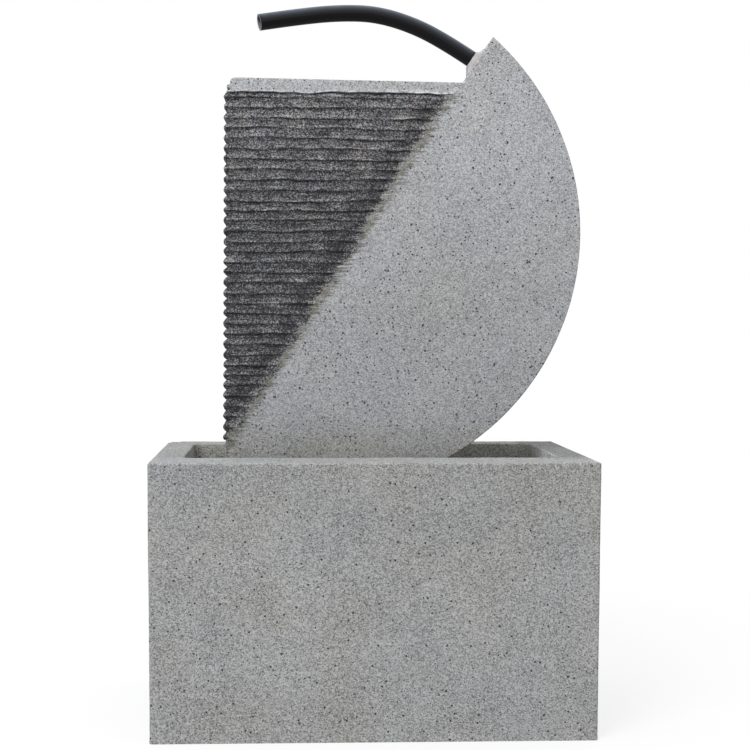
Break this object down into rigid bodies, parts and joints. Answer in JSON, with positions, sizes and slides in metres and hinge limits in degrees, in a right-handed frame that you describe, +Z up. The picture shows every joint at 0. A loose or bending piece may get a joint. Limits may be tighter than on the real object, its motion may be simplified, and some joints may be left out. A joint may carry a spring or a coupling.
{
  "type": "garden wall fountain",
  "caption": "Cast trough fountain with an upright half-moon slab, dark ridged water face, black hose spout and a submersible pump inside.",
  "frame": {"origin": "middle of the trough's footprint on the ground", "axes": "+Z up, +X to the right seen from the front, +Y towards the wall behind"},
  "size_m": [0.7, 0.35, 1.1744],
  "materials": {
    "trough_concrete": "washed grey concrete",
    "slab_concrete": "washed pale grey concrete",
    "plinth_concrete": "cast grey concrete",
    "stained_concrete": "raked concrete with dark stain",
    "mortar": "trowelled mortar",
    "hose_rubber": "smooth black hose",
    "seal_rubber": "matt black rubber",
    "brass": "turned brass",
    "stainless": "stainless steel",
    "pump_plastic": "moulded black plastic",
    "dial_plastic": "moulded blue plastic",
    "core_steel": "laminated steel",
    "copper_wire": "enamelled copper wire",
    "potting": "cast resin",
    "ferrite": "sintered ferrite",
    "shaft_ceramic": "ground ceramic"
  },
  "bodies": {
    "fountain": {"basin": "trough_concrete", "drain_bush": "brass", "cable_grommet": "seal_rubber", "plinth": "plinth_concrete", "plinth_pads": "seal_rubber", "slab_pads": "seal_rubber", "slab_dowels": "stainless", "half_moon_slab": "slab_concrete", "ridged_face": "stained_concrete", "facing_pins": "stainless", "spout_collar": "mortar", "spout_hose": "hose_rubber", "riser_hose": "hose_rubber", "hose_tail": "pump_plastic", "hose_clamp": "stainless", "clamp_worm": "stainless", "pump_housing": "pump_plastic", "suction_cups": "seal_rubber", "cable_gland": "pump_plastic", "stator_core": "core_steel", "stator_coil": "copper_wire", "potting_resin": "potting", "rotor_shaft": "shaft_ceramic", "rear_bush": "seal_rubber", "front_bush": "seal_rubber", "volute_cover": "pump_plastic", "volute_seal": "seal_rubber", "volute_screws": "stainless"},
    "rotor": {"rotor_magnet": "ferrite", "impeller": "dial_plastic"},
    "strainer": {"intake_strainer": "pump_plastic"},
    "dial": {"flow_dial": "dial_plastic"},
    "plug": {"drain_plug": "brass", "drain_seal": "seal_rubber"}
  },
  "joints": [
    {"name": "rotor_spin", "type": "hinge", "parent": "fountain", "child": "rotor", "pos_m": [-0.0935, -0.005, 0.094], "axis": [1, 0, 0], "continuous": true},
    {"name": "strainer_slide", "type": "slide", "parent": "fountain", "child": "strainer", "axis": [1, 0, 0], "range_m": [0, 0.045]},
    {"name": "flow_dial_turn", "type": "hinge", "parent": "strainer", "child": "dial", "pos_m": [-0.0435, -0.005, 0.094], "axis": [1, 0, 0], "range_deg": [0, 45]},
    {"name": "drain_plug_slide", "type": "slide", "parent": "fountain", "child": "plug", "axis": [0, 1, 0], "range_m": [0, 0.035]}
  ]
}
